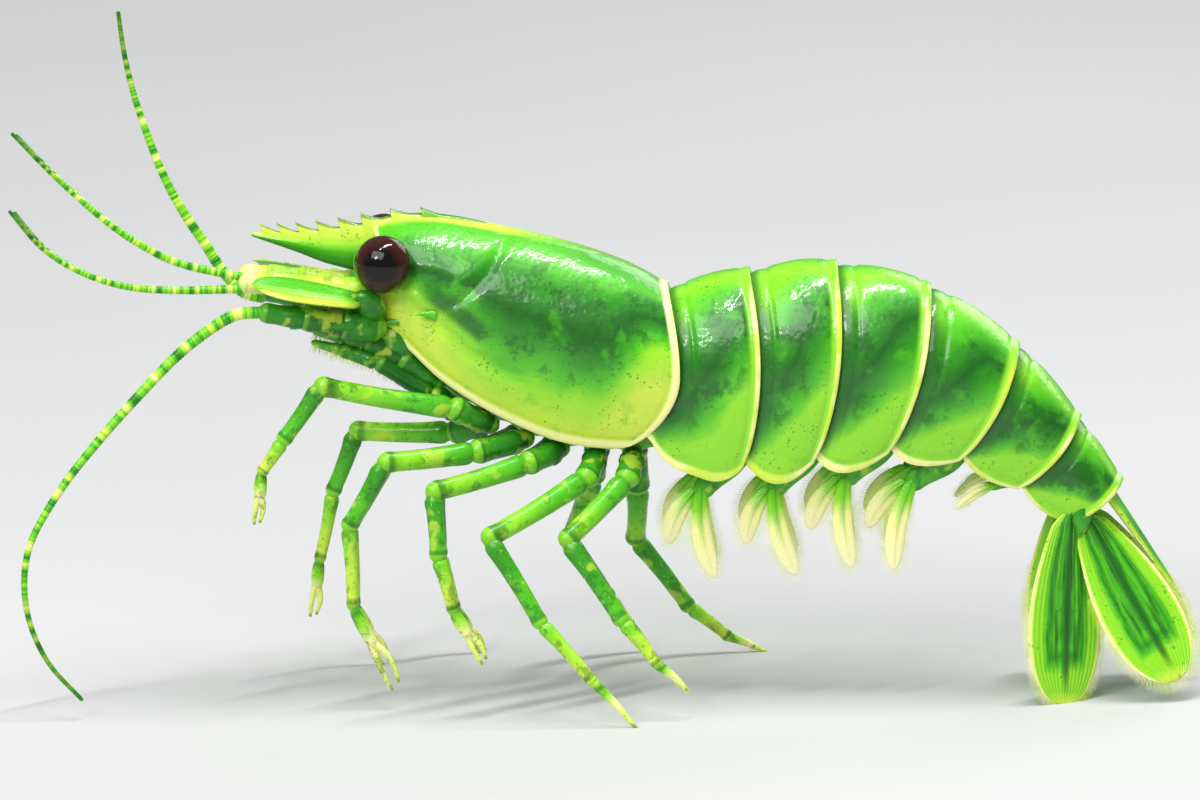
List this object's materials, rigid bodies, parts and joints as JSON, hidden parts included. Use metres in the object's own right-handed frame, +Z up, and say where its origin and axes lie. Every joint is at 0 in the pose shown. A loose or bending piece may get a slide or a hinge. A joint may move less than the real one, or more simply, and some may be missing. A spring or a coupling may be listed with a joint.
{
  "type": "shrimp",
  "caption": "Life-size green shrimp standing on slender legs, back arched and tail fan tucked down, with a toothed snout blade and long sweeping feelers.",
  "frame": {"origin": "on the floor, under the middle of the whole animal, feelers included", "axes": "+X towards the tail, -X the way the head looks, -Y the animal's left side, +Z up"},
  "size_m": [0.1773, 0.0524, 0.1013],
  "materials": {
    "shell": "thin glossy horn-like shell, mottled green with pale yellow rims",
    "tail_fan": "glossy ribbed blades, green with pale yellow edges",
    "flesh": "damp dark green skin between the shell plates",
    "scale": "thin translucent lime plate",
    "feeler": "ringed feeler, banded green and yellow",
    "leg": "satin green with yellow tips",
    "swimmeret": "pale yellow paddles on green stems",
    "eye": "very glossy dark brown to black"
  },
  "bodies": {
    "root": {"carapace": "shell", "abdomen_1": "shell", "abdomen_2": "shell", "abdomen_3": "shell", "abdomen_4": "shell", "abdomen_5": "shell", "abdomen_6": "shell", "telson": "shell", "fan_stem_left": "tail_fan", "fan_stem_right": "tail_fan", "fan_inner_left": "tail_fan", "fan_inner_right": "tail_fan", "fan_outer_left": "tail_fan", "fan_outer_right": "tail_fan", "breast": "flesh", "head": "flesh", "eyestalk_left": "flesh", "eyestalk_right": "flesh", "antennule_left": "flesh", "antennule_right": "flesh", "antenna_base_left": "flesh", "antenna_base_right": "flesh", "maxilliped_left": "flesh", "maxilliped_right": "flesh", "antennal_scale_left": "scale", "antennal_scale_right": "scale", "antenna_left": "feeler", "antenna_right": "feeler", "antennule_upper_left": "feeler", "antennule_upper_right": "feeler", "antennule_lower_left": "feeler", "antennule_lower_right": "feeler", "leg_1_left": "leg", "leg_1_right": "leg", "leg_2_left": "leg", "leg_2_right": "leg", "leg_3_left": "leg", "leg_3_right": "leg", "leg_4_left": "leg", "leg_4_right": "leg", "leg_5_left": "leg", "leg_5_right": "leg", "swimmeret_1_left": "swimmeret", "swimmeret_1_right": "swimmeret", "swimmeret_2_left": "swimmeret", "swimmeret_2_right": "swimmeret", "swimmeret_3_left": "swimmeret", "swimmeret_3_right": "swimmeret", "swimmeret_4_left": "swimmeret", "swimmeret_4_right": "swimmeret", "swimmeret_5_left": "swimmeret", "swimmeret_5_right": "swimmeret", "eye_left": "eye", "eye_right": "eye"}
  },
  "joints": []
}
